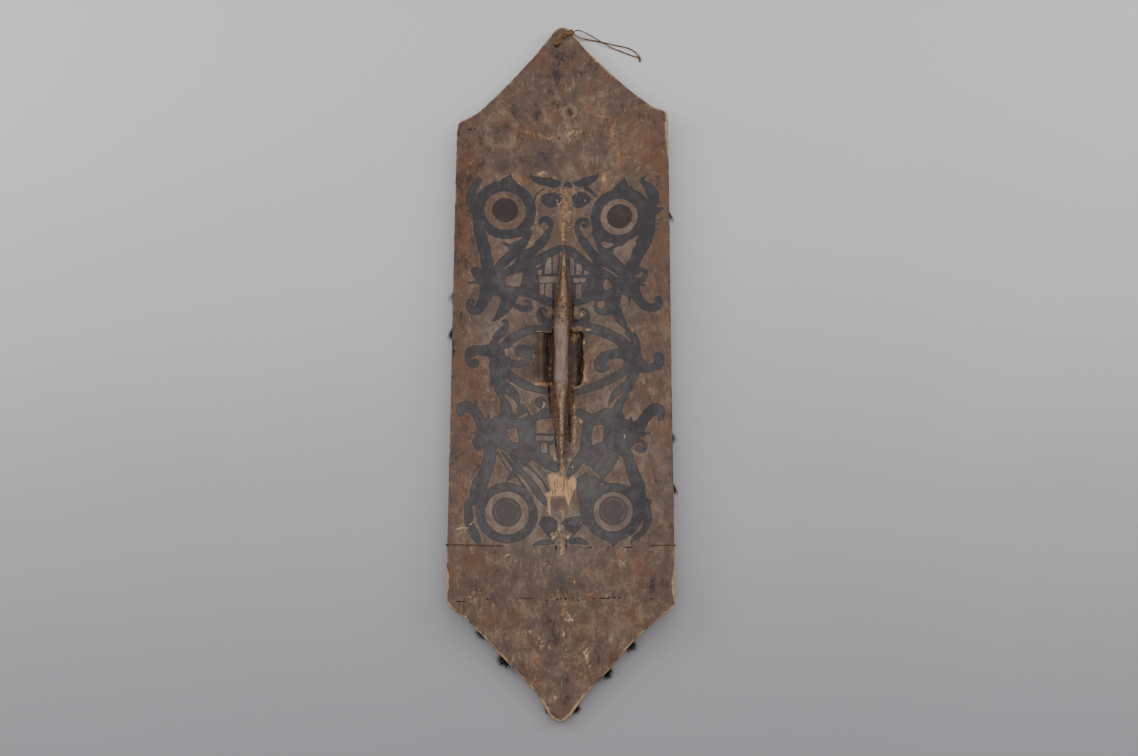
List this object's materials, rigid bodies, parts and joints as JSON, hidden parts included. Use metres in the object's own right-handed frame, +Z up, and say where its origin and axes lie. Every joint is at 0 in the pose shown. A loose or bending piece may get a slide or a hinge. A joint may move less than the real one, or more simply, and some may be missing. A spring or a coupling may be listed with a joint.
{
  "type": "long wooden shield",
  "caption": "Long six-sided plank shield with a shallow V section, a handle carved in one with its back, painted scrollwork, cane strips, hair tufts and a twine loop.",
  "frame": {"origin": "on the floor under the middle of the board, which lies on the flat of its front ridge with the handle side up", "axes": "+X across the board, +Y along it towards its top point, +Z up out of the handle side"},
  "size_m": [0.388, 1.25, 0.0618],
  "materials": {
    "board_wood": "old oiled and painted wood, worn, with slate-black scrollwork and bare patches",
    "cane": "dark split cane",
    "twine": "twisted bark fibre",
    "hair": "black hair"
  },
  "bodies": {
    "root": {"shield_board": "board_wood", "cane_strip_1": "cane", "cane_strip_2": "cane", "cane_strip_3": "cane", "cane_strip_4": "cane", "twine_lashing": "twine", "twine_strand_1": "twine", "twine_strand_2": "twine", "twine_knot": "twine", "hair_tuft_1": "hair", "hair_tuft_2": "hair", "hair_tuft_3": "hair", "hair_tuft_4": "hair", "hair_tuft_5": "hair", "hair_tuft_6": "hair", "hair_tuft_7": "hair", "hair_tuft_8": "hair", "hair_tuft_9": "hair", "hair_tuft_10": "hair", "hair_tuft_11": "hair"}
  },
  "joints": []
}
